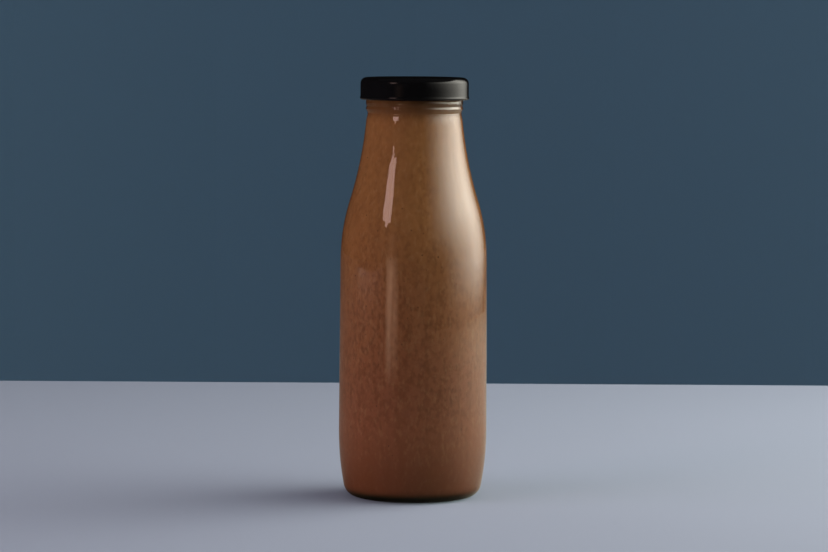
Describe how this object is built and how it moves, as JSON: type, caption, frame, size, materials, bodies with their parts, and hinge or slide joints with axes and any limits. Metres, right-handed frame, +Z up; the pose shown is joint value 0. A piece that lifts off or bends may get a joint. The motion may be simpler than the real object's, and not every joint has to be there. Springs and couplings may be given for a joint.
{
  "type": "chocolate milkshake in a lidded glass bottle",
  "caption": "Clear glass milk bottle with a sloping shoulder and a beaded neck, full of chocolate milkshake, shut by a black twist-off lid.",
  "frame": {"origin": "centre of the base, on the plane it stands on", "axes": "+Z up along the bottle's axis; +X and +Y are alike, since the bottle is round"},
  "size_m": [0.0624, 0.0624, 0.177],
  "materials": {
    "clear_glass": "smooth clear flint glass with a faint green tint where it is thick",
    "milkshake": "opaque thick chocolate drink with fine streaks and dark specks",
    "black_lacquer": "glossy black lacquered tinplate"
  },
  "bodies": {
    "root": {"bottle": "clear_glass", "milkshake": "milkshake", "cap": "black_lacquer"}
  },
  "joints": []
}
